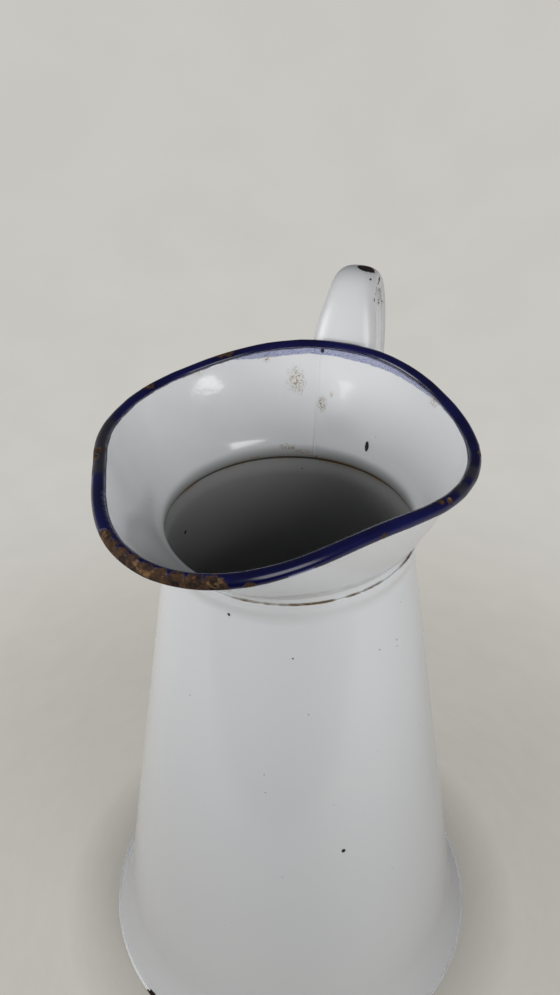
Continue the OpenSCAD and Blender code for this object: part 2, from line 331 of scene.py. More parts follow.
def thicken(piece, offset):
    """Gives a drawn face the sheet's thickness: offset 1 adds it outside and -1 inside."""
    wall = piece.modifiers.new("sheet", "SOLIDIFY")
    wall.thickness = SHEET
    wall.offset = offset
    wall.use_even_offset = True
    wall.material_offset = len(piece.material_slots) - 1
    edge = piece.modifiers.new("cut_edge", "BEVEL")
    edge.width = 0.4 * SHEET
    edge.segments = 3
    edge.limit_method = "ANGLE"
    edge.angle_limit = math.radians(60)
    for modifier in (wall, edge):
        bpy.ops.object.modifier_apply(modifier=modifier.name)
    bpy.ops.object.shade_smooth_by_angle(angle=math.radians(50))


body = draw_up(body_outline())
for side in ("outside", "inside"):
    bpy.ops.object.material_slot_add()
thicken(body, -1)
finish_piece(body, "body_wall", "enamel_white", "body")

# %% [markdown]
# ## Collar
# The real collar is a flat strip of steel: its ends are welded together at the back, and it is pressed over
# a former into a funnel with a spout. The model is made in the same order. A grid primitive is the strip.
# Every point of it is laid on the former by two numbers, how far round and how far up, and then the two
# ends are merged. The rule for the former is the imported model's: a curve in space for the rim, and a wall
# that leaves the neck upright and meets the rolled rim as a tangent. Only the bend at the neck is drawn a
# little tighter.

# %% Rim line
THROAT_R = 54 * MM                  # inside of the neck
RIM_R = 2.7 * MM                    # outside of the rolled edge, measured from its own middle
SIDE_REACH, SPOUT_REACH, BACK_REACH = 74.8 * MM, 104 * MM, 67.3 * MM
SIDE_RISE, SPOUT_RISE, BACK_RISE = 41.5 * MM, 49 * MM, 51.8 * MM
SPOUT_TAPER = 6.6                   # a higher power makes the spout narrower
SPOUT_LIFT, BACK_BREADTH, BACK_LIFT = 4.6, 5.6, 2.4     # higher powers hold a height or a reach longer
UP = Vector((0, 0, 1))


def towards(a):
    """The level direction a radians round from the spout, which points along -Y."""
    return Vector((math.sin(a), -math.cos(a), 0))


def rim_centre(a):
    """The middle of the rolled rim: narrow and high at the spout, broad and high at the back."""
    if math.cos(a) > 0:
        reach = mix(SIDE_REACH, SPOUT_REACH, math.cos(a) ** SPOUT_TAPER)
        rise = mix(SIDE_RISE, SPOUT_RISE, 1 - abs(math.sin(a)) ** SPOUT_LIFT)
    else:
        reach = mix(SIDE_REACH, BACK_REACH, 1 - abs(math.sin(a)) ** BACK_BREADTH)
        rise = mix(SIDE_RISE, BACK_RISE, 1 - abs(math.sin(a)) ** BACK_LIFT)
    return reach * towards(a) + (SEAM + rise) * UP


def rim_outward(a):
    """The level direction that points square out of the rim line."""
    step = 0.004
    along = rim_centre(a + step) - rim_centre(a - step)
    return Vector((along.y, -along.x, 0)).normalized()


print("the spout reaches", round(SPOUT_REACH / MM, 1), "mm and the sides", round(SIDE_REACH / MM, 1))

# %% The former
NECK_DEPTH = 1.5 * MM               # how far the collar's band reaches down into the body
NECK_BAND, NECK_BEND = 0.4 * MM, 2.2 * MM       # its height above the seam, and the bend's over it
SWELL = 1.5 * MM                    # how far the funnel swells out halfway up
BAND_SHARE, BEND_SHARE = 0.04, 0.12     # shares of the strip's height up to the band's and the bend's end
WELD = math.radians(189)            # heading of the weld, a little to one side of the handle


def wall_pull(a):
    """The point that pulls the wall's line outwards, halfway from the neck's bend to the rim."""
    bend = THROAT_R * towards(a) + (SEAM + NECK_BAND + NECK_BEND) * UP
    rise = rim_centre(a) - bend
    square = rise.z * rim_outward(a) - rise.dot(rim_outward(a)) * UP
    return bend + rise / 2 + SWELL * square.normalized()


def wall_lean(a):
    """How far the wall's last stretch leans out, so that it is tangent to the rolled rim."""
    rise = rim_centre(a) - wall_pull(a)
    out = rise.dot(rim_outward(a))
    return math.atan2(out, rise.z) - math.asin(RIM_R / math.hypot(out, rise.z))


def curve_point(start, pull, end, t):
    """A point of a curve that leaves its start towards a pulling point and ends at its end."""
    return start * (1 - t) ** 2 + pull * 2 * t * (1 - t) + end * t ** 2


def on_former(around, up):
    """A point of the collar's inner face, from shares round (0 at the weld) and up the strip."""
    a = WELD + 2 * math.pi * around
    neck = THROAT_R * towards(a) + (SEAM + NECK_BAND) * UP
    if up < BAND_SHARE:
        return neck - (1 - up / BAND_SHARE) * (NECK_BAND + NECK_DEPTH) * UP
    bend, pull = neck + NECK_BEND * UP, wall_pull(a)
    turn = bend + NECK_BEND * (pull - bend).normalized()
    if up < BEND_SHARE:
        return curve_point(neck, bend, turn, (up - BAND_SHARE) / (BEND_SHARE - BAND_SHARE))
    lean = wall_lean(a)
    end = rim_centre(a) + RIM_R * (math.sin(lean) * UP - math.cos(lean) * rim_outward(a))
    return curve_point(turn, pull, end, (up - BEND_SHARE) / (1 - BEND_SHARE))


# %% [markdown]
# Handwork moved the sheet by a millimetre or two in places, and each of these dents and steps is in the
# mesh, because it is what breaks up the reflections in the real collar.

# %% Handwork on the wall
STRIP_LENGTH = 440 * MM
WELD_REACH, WELD_SINK = 12 * MM, 0.9 * MM       # the ends lie flatter than the rest and meet in a corner
STEP_RISE = 0.45 * MM               # the last bend of the former leaves a slight step above the neck
STEP_MIDDLE, STEP_HALF = SEAM + 5 * MM, 5 * MM
# where hammering has raised the wall inwards: middle, half sizes and rise, in millimetres
SWELLS = [((-54, 38, 300), (16, 15, 19), 1.1), ((3, 60, 298), (12, 10, 18), 2.3)]
RIM_FADE, NECK_FADE = 0.12, 4 * MM  # handwork fades over this share of the height, and this height


def worked(point, around, up):
    """How far handwork has moved a point of the wall inwards. It fades at the rim and at the neck."""
    from_weld = STRIP_LENGTH * min(around, 1 - around)
    inward = -WELD_SINK * max(0, 1 - from_weld / WELD_REACH) ** 2
    inward += STEP_RISE * ease(max(0, 1 - abs(point.z - STEP_MIDDLE) / STEP_HALF))
    for middle, half, rise in SWELLS:
        offset = Vector([(p / MM - m) / h for p, m, h in zip(point, middle, half)])
        inward += rise * MM * ease(max(0, 1 - offset.length))
    at_rim = ease(min(1, (1 - up) / RIM_FADE))
    at_neck = ease(min(1, max(0, point.z - SEAM) / NECK_FADE))
    return inward * at_rim * at_neck


def on_wall(around, up):
    """The same point of the strip after the handwork."""
    point = on_former(around, up)
    return point - worked(point, around, up) * towards(WELD + 2 * math.pi * around)


print(len(SWELLS), "swells, up to", max(rise for middle, half, rise in SWELLS), "mm")

# %% Press the collar
def press_strip(across, along, place):
    """A grid primitive laid over a former by place(share along, share across), its ends merged."""
    deselect_all()
    bpy.ops.mesh.primitive_grid_add(x_subdivisions=along, y_subdivisions=across, size=1)
    strip = bpy.context.object
    for vertex in strip.data.vertices:
        vertex.co = place(vertex.co.x + 0.5, vertex.co.y + 0.5)
    bpy.ops.object.mode_set(mode="EDIT")
    bpy.ops.mesh.select_all(action="SELECT")
    bpy.ops.mesh.remove_doubles(threshold=0.01 * MM)
    bpy.ops.object.mode_set(mode="OBJECT")
    return strip


collar = press_strip(50, 288, on_wall)
for side in ("outside", "inside"):
    bpy.ops.object.material_slot_add()
thicken(collar, 1)
finish_piece(collar, "collar_wall", "enamel_white", "collar")

# %% [markdown]
# ## Rolled rim
# The collar's own edge is curled outwards round a wire, about five sixths of a turn, and its cut edge ends
# close under the wall. It is another pressed strip: once round the rim, and across it round the wire. A
# bead that is rolled by hand is never quite even, so its radius is up to 0.15 mm smaller in places.

# %% Rolled rim
CURL = math.radians(304)


def on_curl(around, across):
    """A point of the curl's outer face, from shares round the rim and round the wire."""
    a = WELD + 2 * math.pi * around
    turn = math.pi - wall_lean(a) - CURL * (1 - across)
    wobble = 0.06 * math.sin(7 * a + 1) + 0.05 * math.sin(13 * a) + 0.04 * math.sin(23 * a + 2)
    radius = RIM_R - abs(wobble) * MM
    return rim_centre(a) + radius * (math.cos(turn) * rim_outward(a) + math.sin(turn) * UP)


rim = press_strip(30, 360, on_curl)
thicken(rim, -1)
finish_piece(rim, "rolled_rim", "enamel_blue", "rim_roll")

# %% [markdown]
# ## Handle
# The handle is pressed from one strip: a crowned face with two flanks turned down, closed underneath by a
# second strip that is tucked between the flanks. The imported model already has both, as coarse triangles.
# A copy is merged, its triangles are joined into quads, and a Subdivision Surface smooths it. This keeps
# the handle exactly where the model has it, and rounds its edges as the melted enamel does. The second
# strip is then swollen by the enamel that fills the joint beside it.

# %% Handle
SWOLLEN = 0.7 * MM                  # how far the enamel in the joint swells the second strip
KEPT_WIDTH = 0.94                   # and the share of its width that keeps it inside the flanks


def smoothed_copy(node, square_edges=False):
    """A merged copy of a CAD node as quads, subdivided smooth. The node itself is left alone."""
    deselect_all()
    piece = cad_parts[node].copy()
    piece.data = piece.data.copy()
    piece.parent = None
    for key in list(piece.keys()):
        del piece[key]
    bpy.context.collection.objects.link(piece)
    bpy.context.view_layer.objects.active = piece
    piece.select_set(True)
    bpy.ops.object.mode_set(mode="EDIT")
    bpy.ops.mesh.select_all(action="SELECT")
    bpy.ops.mesh.remove_doubles(threshold=0.005 * MM)
    bpy.ops.mesh.tris_convert_to_quads(face_threshold=math.pi, shape_threshold=math.pi)
    if square_edges:
        bpy.ops.mesh.select_mode(type="EDGE")
        bpy.ops.mesh.select_all(action="DESELECT")
        bpy.ops.mesh.edges_select_sharp(sharpness=math.radians(60))
        bpy.ops.transform.edge_crease(value=0.9)
    bpy.ops.object.mode_set(mode="OBJECT")
    smooth = piece.modifiers.new("smooth", "SUBSURF")
    smooth.levels = smooth.render_levels = 2
    bpy.ops.object.modifier_apply(modifier=smooth.name)
    bpy.ops.object.shade_smooth_by_angle(angle=math.radians(60))
    return piece


strap = smoothed_copy("handle_strap")
finish_piece(strap, "handle_face", "enamel_white", "handle_strap")
strip = smoothed_copy("handle_back_strip", square_edges=True)
bpy.ops.object.mode_set(mode="EDIT")
bpy.ops.mesh.select_all(action="SELECT")
bpy.ops.transform.shrink_fatten(value=SWOLLEN)
bpy.ops.transform.resize(value=(KEPT_WIDTH, 1, 1), center_override=(0, 0, 0))
bpy.ops.object.mode_set(mode="OBJECT")
finish_piece(strip, "handle_lining", "enamel_white", "handle_back_strip")

# %% [markdown]
# ## Finishes and wear
# A finish is three things here: a colour, a roughness and a relief in metres. The glass comes first, with
# the pinholes that were there when the pitcher left the kiln. Wear is laid over it: first the rust that
# crept over the glass, and last the chips down to the steel, so that their dark edges stay sharp.
#
# Marks are placed where they sit on the pitcher, in millimetres, each as an ellipsoid that cuts the
# surface. Noise makes its edge ragged.

# %% Helpers for finishes
FALLING = {"To Min": 1.0, "To Max": 0.0}        # a mask that is 1 up to its range and 0 past it


def near_marks(tree, place, marks, uneven=0.3, grain=1.2):
    """How near a point is to the nearest mark: 0 in its middle and 1 at its uneven edge.
    A mark is its middle and its half sizes along X, Y and Z, in millimetres, and so is the grain."""
    nearest = None
    for middle, half in marks:
        scale = [1 / (h * MM) for h in half]
        shift = [-m / h for m, h in zip(middle, half)]
        offset = add_node(tree, "VectorMath", {0: place, 1: scale, 2: shift}, operation="MULTIPLY_ADD")
        distance = add_node(tree, "VectorMath", {0: offset}, out="Value", operation="LENGTH")
        nearest = distance if nearest is None else add_node(
            tree, "Math", {0: nearest, 1: distance}, operation="MINIMUM")
    noise = add_node(tree, "TexNoise", {
        "Vector": place, "Scale": 1 / (grain * MM), "Detail": 3.0}, out="Fac")
    wander = add_node(tree, "MapRange", {"Value": noise, "To Min": -uneven, "To Max": uneven})
    return add_node(tree, "Math", {0: nearest, 1: wander}, operation="ADD")


def lay(tree, mask, under, tint, roughness, relief):
    """Lays a finish over another where the mask is 1."""
    under_tint, under_roughness, under_relief = under
    return (add_node(tree, "MixRGB", {"Fac": mask, "Color1": under_tint, "Color2": tint}),
            add_node(tree, "MapRange", {"Value": mask, "To Min": under_roughness, "To Max": roughness}),
            add_node(tree, "MapRange", {"Value": mask, "To Min": under_relief, "To Max": relief}))


def glaze(tree, output, finish, ior=1.52):
    """The surface itself: glass that shows a finish's colour, roughness and relief."""
    tint, roughness, relief = finish
    bump = add_node(tree, "Bump", {"Height": relief, "Strength": 1.0, "Distance": 1.0})
    surface = add_node(tree, "BsdfPrincipled", {
        "Base Color": tint, "Roughness": roughness, "IOR": ior, "Normal": bump})
    tree.links.new(surface, output.inputs["Surface"])


# %% [markdown]
# Each of the next four functions adds one thing that happens to sheet and glass: dents, chips, rust that
# creeps over the glass, and rust along a seam.

# %% Wear
def dented(tree, place):
    """Relief of hand-raised sheet: slow dents, hammer-sized ones, and the faint ripple of melted glass."""
    slow = add_node(tree, "TexNoise", {"Vector": place, "Scale": 1 / (70 * MM), "Detail": 1.0}, out="Fac")
    blows = add_node(tree, "TexNoise", {"Vector": place, "Scale": 1 / (18 * MM), "Detail": 1.0}, out="Fac")
    ripple = add_node(tree, "TexNoise", {"Vector": place, "Scale": 1 / (6 * MM), "Detail": 2.0}, out="Fac")
    relief = add_node(tree, "Math", {0: slow, 1: 0.3 * MM}, operation="MULTIPLY")
    relief = add_node(tree, "Math", {0: blows, 1: 0.07 * MM, 2: relief}, operation="MULTIPLY_ADD")
    return add_node(tree, "Math", {0: ripple, 1: 0.01 * MM, 2: relief}, operation="MULTIPLY_ADD")


def chip(tree, place, finish, marks):
    """Chips down to the steel: a black ground coat at the edge and brown rust in the middle."""
    near = near_marks(tree, place, marks)
    gone = add_node(tree, "MapRange", {"Value": near, "From Min": 0.9, "From Max": 1.02, **FALLING})
    core = add_node(tree, "MapRange", {"Value": near, "From Min": 0.4, "From Max": 0.8, **FALLING})
    crust = add_node(tree, "TexNoise", {
        "Vector": place, "Scale": 1 / (0.9 * MM), "Detail": 2.0}, out="Fac")
    rust = add_node(tree, "MixRGB", {
        "Fac": crust, "Color1": colour("#140806"), "Color2": colour("#3c1811")})
    tint = add_node(tree, "MixRGB", {"Fac": core, "Color1": colour("#060404"), "Color2": rust})
    return lay(tree, gone, finish, tint, 0.8, -0.12 * MM)


def stain(tree, place, finish, marks):
    """Rust that crept out over the glass: a yellow brown veil, broken up in darker flecks."""
    near = near_marks(tree, place, marks, uneven=0.45, grain=2.5)
    reach = add_node(tree, "MapRange", {"Value": near, "From Min": 0.2, "From Max": 1.0, **FALLING})
    grain = add_node(tree, "TexNoise", {
        "Vector": place, "Scale": 1 / (0.9 * MM), "Detail": 4.0, "Roughness": 0.65}, out="Fac")
    fleck = add_node(tree, "MapRange", {"Value": grain, "From Min": 0.48, "From Max": 0.6})
    veil = add_node(tree, "MapRange", {"Value": fleck, "To Min": 0.12, "To Max": 1.0})
    mask = add_node(tree, "Math", {0: reach, 1: veil}, operation="MULTIPLY")
    tint = add_node(tree, "MixRGB", {
        "Fac": fleck, "Color1": colour("#b09a63"), "Color2": colour("#6b4d1f")})
    return lay(tree, mask, finish, tint, 0.45, finish[2])


def rust_line(tree, place, finish, height, thickness, least):
    """Rust along a level seam: a brown crack that is nowhere fainter than least, and yellow beside it."""
    level = add_node(tree, "SeparateXYZ", {0: place}, out="Z")
    away = add_node(tree, "Math", {0: level, 1: height}, operation="SUBTRACT")
    away = add_node(tree, "Math", {0: away}, operation="ABSOLUTE")
    patches = add_node(tree, "TexNoise", {
        "Vector": place, "Scale": 1 / (14 * MM), "Detail": 3.0, "Roughness": 0.6}, out="Fac")
    amount = add_node(tree, "MapRange", {"Value": patches, "From Min": 0.45, "From Max": 0.62})
    halo = add_node(tree, "MapRange", {
        "Value": away, "From Min": 0.0, "From Max": 3 * thickness, **FALLING})
    halo = add_node(tree, "Math", {0: halo, 1: amount}, operation="MULTIPLY")
    halo = add_node(tree, "Math", {0: halo, 1: 0.6}, operation="MULTIPLY")
    finish = lay(tree, halo, finish, colour("#8a6a2c"), 0.5, finish[2])
    dark = add_node(tree, "MapRange", {"Value": amount, "To Min": least})
    crack = add_node(tree, "MapRange", {
        "Value": away, "From Min": 0.5 * thickness, "From Max": thickness, **FALLING})
    crack = add_node(tree, "Math", {0: crack, 1: dark}, operation="MULTIPLY")
    tint = add_node(tree, "MixRGB", {
        "Fac": amount, "Color1": colour("#21190f"), "Color2": colour("#54401f")})
    return lay(tree, crack, finish, tint, 0.7, finish[2])


# %% [markdown]
# ## White enamel
# Vitreous enamel is glass, melted onto steel at about 820 degrees. It is glossy like glass (IOR 1.52), its
# white is a little cold, and it isn't quite flat, because it flows while it is soft and the sheet under
# it was worked by hand. Gas that escapes in the kiln leaves a few tiny dark pinholes.

# %% White enamel
def white_glass(tree, place, hues=("#d9dce0", "#dedfdf"), roughness=0.13):
    """Dipped and fired white glass: a smooth cold gloss with a few pinholes."""
    drift = add_node(tree, "TexNoise", {"Vector": place, "Scale": 1 / (55 * MM), "Detail": 2.0}, out="Fac")
    tint = add_node(tree, "MixRGB", {"Fac": drift, "Color1": colour(hues[0]), "Color2": colour(hues[1])})
    spots = add_node(tree, "TexVoronoi", {"Vector": place, "Scale": 1 / (12 * MM)}, out="Distance")
    hole = add_node(tree, "MapRange", {"Value": spots, "From Min": 0.018, "From Max": 0.03, **FALLING})
    finish = (tint, roughness, dented(tree, place))
    return lay(tree, hole, finish, colour("#4a4744"), 0.4, finish[2])


# %% [markdown]
# The body's outside, its pan and its inside are three finishes. The outside and the pan share the chips at
# the foot's edge, and the neck seam has rusted outside and inside.

# %% Enamel of the body
BODY_DOTS = [((48.8, -57.4, 137.3), (1, 1, 1.1)), ((-4.3, -54.9, 262.1), (0.7, 0.7, 0.7)),
             ((22.3, -53.1, 245.9), (0.4, 0.4, 0.4)), ((51.4, -28.4, 238.7), (0.35, 0.35, 0.35)),
             ((56, -18.5, 237.1), (0.35, 0.35, 0.35))]
FOOT_CHIPS = [((-45, -94, 1.5), (4.6, 3.2, 2.2)), ((84, -60, 1), (3, 3, 1.6)), ((20, 102, 1), (4, 3, 2))]


def body_enamel():
    """The outside of the body: white glass, painted greyer low down as shade where the lamps light it less,
    with rust along the neck seam and chips at the foot's edge."""
    material, tree, output = new_material("white_enamel_body")
    place = add_node(tree, "TexCoord", out="Object")
    tint, roughness, relief = white_glass(tree, place)
    level = add_node(tree, "SeparateXYZ", {0: place}, out="Z")
    # painted shade: the glass is greyed towards the foot, where the lamps light the body less
    low_shade = add_node(tree, "MapRange", {"Value": level, "From Min": 0.02, "From Max": 0.22, **FALLING})
    low_shade = add_node(tree, "Math", {0: low_shade, 1: 0.7}, operation="MULTIPLY")
    tint = add_node(tree, "MixRGB", {"Fac": low_shade, "Color1": tint, "Color2": colour("#c4c5c6")})
    finish = rust_line(tree, place, (tint, roughness, relief), SEAM, 0.2 * MM, 0.15)
    finish = chip(tree, place, finish, BODY_DOTS + FOOT_CHIPS)
    glaze(tree, output, finish)
    return material


def pan_enamel():
    """The base pan, whose hem is folded round the foot's edge: its white is a painted highlight on that
    edge.
    """
    material, tree, output = new_material("pan_enamel_painted_highlight")
    place = add_node(tree, "TexCoord", out="Object")
    # painted highlight: a whiter glass than the body's, so the foot's edge shows as a light line
    finish = white_glass(tree, place, hues=("#f1f2f3", "#f5f5f4"), roughness=0.3)
    glaze(tree, output, chip(tree, place, finish, FOOT_CHIPS))
    return material


def inside_enamel():
    """Inside of the body: glass painted grey as shade for the dim inside, dull with years of milk and
    water.
    """
    material, tree, output = new_material("grey_inside_painted_shade")
    place = add_node(tree, "TexCoord", out="Object")
    drift = add_node(tree, "TexNoise", {"Vector": place, "Scale": 1 / (33 * MM), "Detail": 3.0}, out="Fac")
    # painted shade: the inside's glass is grey, darker than the outside's white, for the light that does
    # not reach in
    tint = add_node(tree, "MixRGB", {
        "Fac": drift, "Color1": colour("#9c9d9b"), "Color2": colour("#a7a8a6")})
    finish = (tint, 0.3, dented(tree, place))
    finish = rust_line(tree, place, finish, SEAM - 2.2 * MM, 0.9 * MM, 0.85)
    finish = chip(tree, place, finish, [((-14.1, 52.8, 264.1), (0.8, 0.8, 0.9)),
                                        ((-56.3, 6.6, 245.6), (1, 1, 1.2))])
    glaze(tree, output, finish)
    return material


# %% [markdown]
# ## Finish of the collar
# The blue of the rim was sprayed, and some of it drifted over the edge onto the inside at the back, where
# it lies as a pale violet veil with a speckled lower edge. The weld is a thin raised line under the glass.
# The strip's own UV map gives both: U runs round from the weld, V up to the rim. Painted shade greys the
# bend at the neck, rust has settled there brown, and hammer marks ripple the raised places.

# %% Collar enamel
COLLAR_CHIPS = [((17.8, 52.6, 284), (1.3, 2.2, 3.4)), ((-8.5, 63.7, 323), (0.9, 1, 1)),
                ((-59.3, -7, 289.7), (0.8, 0.8, 0.8)), ((-67.1, 16.2, 311.1), (0.6, 0.6, 0.6)),
                ((-64.6, 17.5, 307.3), (0.4, 0.4, 0.4)), ((-8.5, 55.2, 285.6), (0.5, 0.6, 0.6))]
COLLAR_STAINS = [((-19.5, 59, 308.5), (5.5, 4, 8)), ((-7, 60, 297.5), (3, 3, 5)),
                 ((-2, 62, 303), (2, 3, 2)), ((-21.7, 50.5, 276.4), (7, 3, 2)),
                 ((-14.8, 52.5, 274), (6, 2.5, 1.6)), ((-8.6, 53.5, 271.8), (4, 2, 1.2)),
                 ((-34.3, 42, 271.8), (4.5, 3, 1.2)),
                 ((-57, 33, 318), (4, 4, 4)), ((-33, 55, 319), (2.5, 2.5, 3)), ((50, 45, 318), (4, 4, 4))]
WALL_HEIGHT = 48                    # the wall's height on average, in millimetres


def collar_outside():
    """The outside of the collar: plain white glass with a trace of rust where it meets the body."""
    material, tree, output = new_material("white_enamel_collar_outside")
    place = add_node(tree, "TexCoord", out="Object")
    finish = white_glass(tree, place)
    glaze(tree, output, rust_line(tree, place, finish, SEAM + 0.1 * MM, 0.2 * MM, 0.0))
    return material


def weld_and_blows(tree, place, around, relief):
    """Adds the weld's raised line and the ripple of the hammered swells to a relief."""
    from_weld = add_node(tree, "Math", {0: around, 1: 0.5}, operation="PINGPONG")
    ridge = add_node(tree, "MapRange", {
        "Value": from_weld, "From Min": 0.0, "From Max": 1.0 * MM / STRIP_LENGTH, **FALLING})
    relief = add_node(tree, "Math", {0: ridge, 1: 0.25 * MM, 2: relief}, operation="MULTIPLY_ADD")
    near = near_marks(tree, place, [swell[:2] for swell in SWELLS], uneven=0.0)
    blows = add_node(tree, "TexNoise", {"Vector": place, "Scale": 1 / (7 * MM), "Detail": 3.0}, out="Fac")
    hammered = add_node(tree, "MapRange", {"Value": near, "From Min": 0.1, "From Max": 1.0, **FALLING})
    blows = add_node(tree, "Math", {0: blows, 1: hammered}, operation="MULTIPLY")
    return add_node(tree, "Math", {0: blows, 1: 0.35 * MM, 2: relief}, operation="MULTIPLY_ADD")


def overspray(tree, place, up, finish):
    """Lays the blue that drifted over the edge: a violet veil at the back, and a dark line at the rim."""
    # below is how far a point lies under the rim and width how far the blue hangs down, in millimetres
    below = add_node(tree, "MapRange", {
        "Value": up, "From Min": 0.0, "From Max": 1.0, "To Min": WALL_HEIGHT, "To Max": 0.0})
    side = add_node(tree, "SeparateXYZ", {0: place}, out="X")
    back = add_node(tree, "SeparateXYZ", {0: place}, out="Y")
    heading = add_node(tree, "Math", {0: side, 1: back}, operation="ARCTAN2")
    left = add_node(tree, "MapRange", {
        "Value": heading, "From Min": math.radians(-47), "From Max": math.radians(-34)})
    right = add_node(tree, "MapRange", {
        "Value": heading, "From Min": math.radians(15), "From Max": math.radians(75), **FALLING})
    width = add_node(tree, "Math", {0: left, 1: right}, operation="MULTIPLY")
    drips = add_node(tree, "TexNoise", {
        "Vector": place, "Scale": 1 / (9 * MM), "Detail": 4.0, "Roughness": 0.6}, out="Fac")
    wander = add_node(tree, "MapRange", {"Value": drips, "To Min": -1.1, "To Max": 1.5})
    width = add_node(tree, "Math", {0: width, 1: 2.9, 2: wander}, operation="MULTIPLY_ADD")
    depth = add_node(tree, "Math", {0: width, 1: below}, operation="SUBTRACT")
    veil = add_node(tree, "MapRange", {"Value": depth, "From Min": 0.0, "From Max": 0.35})
    mist = add_node(tree, "TexNoise", {
        "Vector": place, "Scale": 1 / (0.5 * MM), "Detail": 2.0, "Roughness": 0.7}, out="Fac")
    mist = add_node(tree, "MapRange", {
        "Value": mist, "From Min": 0.35, "From Max": 0.65, "To Min": 0.35, "To Max": 1.0})
    veil = add_node(tree, "Math", {0: veil, 1: mist}, operation="MULTIPLY")
    finish = lay(tree, veil, finish, colour("#6f77ab"), 0.3, finish[2])
    edge = add_node(tree, "Math", {0: wander, 1: 0.5, 2: 0.1}, operation="MULTIPLY_ADD")
    edge = add_node(tree, "Math", {0: below, 1: edge}, operation="SUBTRACT")
    edge = add_node(tree, "MapRange", {"Value": edge, "From Min": 0.0, "From Max": 0.5, **FALLING})
    return lay(tree, edge, finish, colour("#0d0f3c"), 0.4, finish[2])


def collar_inside():
    """White glass: weld line, blue overspray under the rim, painted shade at the neck, chips and rust
    flecks.
    """
    material, tree, output = new_material("white_enamel_collar_inside")
    place = add_node(tree, "TexCoord", out="Object")
    strip = add_node(tree, "TexCoord", out="UV")
    around = add_node(tree, "SeparateXYZ", {0: strip}, out="X")
    up = add_node(tree, "SeparateXYZ", {0: strip}, out="Y")
    tint, roughness, relief = white_glass(tree, place, hues=("#e4e6e8", "#e8e9e9"))
    relief = weld_and_blows(tree, place, around, relief)
    level = add_node(tree, "SeparateXYZ", {0: place}, out="Z")
    # painted shade: the bend at the neck is greyed, because the rim keeps the lamps' light from it
    neck_shade = add_node(tree, "MapRange", {
        "Value": level, "From Min": SEAM - 1 * MM, "From Max": SEAM + 5.5 * MM, **FALLING})
    neck_shade = add_node(tree, "Math", {0: neck_shade, 1: 0.8}, operation="MULTIPLY")
    tint = add_node(tree, "MixRGB", {"Fac": neck_shade, "Color1": tint, "Color2": colour("#6f6e6b")})
    finish = overspray(tree, place, up, (tint, roughness, relief))
    finish = stain(tree, place, finish, COLLAR_STAINS)
    finish = rust_line(tree, place, finish, SEAM - 1.5 * MM, 0.4 * MM, 0.85)
    finish = chip(tree, place, finish, COLLAR_CHIPS)
    glaze(tree, output, finish)
    return material


# %% [markdown]
# ## Finish of the rim
# Cobalt glass is nearly black where it lies thick and royal blue where it is thin. The rim takes all the
# knocks. The spout has lost its glass down to rusty steel, and smaller rusty places follow round the rim.
# Years of wiping have dulled the glass that is left, so it reflects less than new glass does (IOR 1.36).
# Each place is given by its heading from the spout and by the angle round the wire: 90 degrees is the top,
# 0 the outside and -90 the underside.

# %% Blue enamel
def on_rim(heading, turn, half):
    """A mark on the rolled rim, from two angles in degrees, as its middle and half size in millimetres."""
    a, b = math.radians(heading), math.radians(turn)
    point = rim_centre(a) + RIM_R * (math.cos(b) * rim_outward(a) + math.sin(b) * UP)
    return tuple(point / MM), (half, half, half)


SPOUT_RUST = [on_rim(heading, 5, 4.2) for heading in range(-16, 9, 3)] + [
    on_rim(heading, -50, 4.2) for heading in range(-15, 10, 4)]
RIM_RUST = [on_rim(-134, 80, 3), on_rim(-131, 60, 3), on_rim(-101, 60, 3.4), on_rim(-52, 55, 3.2),
            on_rim(-48, 40, 2.6), on_rim(67, 80, 1.6), on_rim(70, 50, 1.5), on_rim(99, 40, 1.4),
            on_rim(104, 20, 1.2), on_rim(14, -25, 2), on_rim(28, -60, 2), on_rim(44, 0, 1.2)]
RIM_WORN = [on_rim(heading, 70, 6) for heading in range(-72, -40, 6)] + [
    on_rim(88, 80, 6), on_rim(78, 80, 5)]
INNER_FLANK = [on_rim(heading, 160, 2.2) for heading in range(-30, 75, 2)]
RIM_PALE = [on_rim(21 + step / 2, -25, 0.7) for step in range(10)]


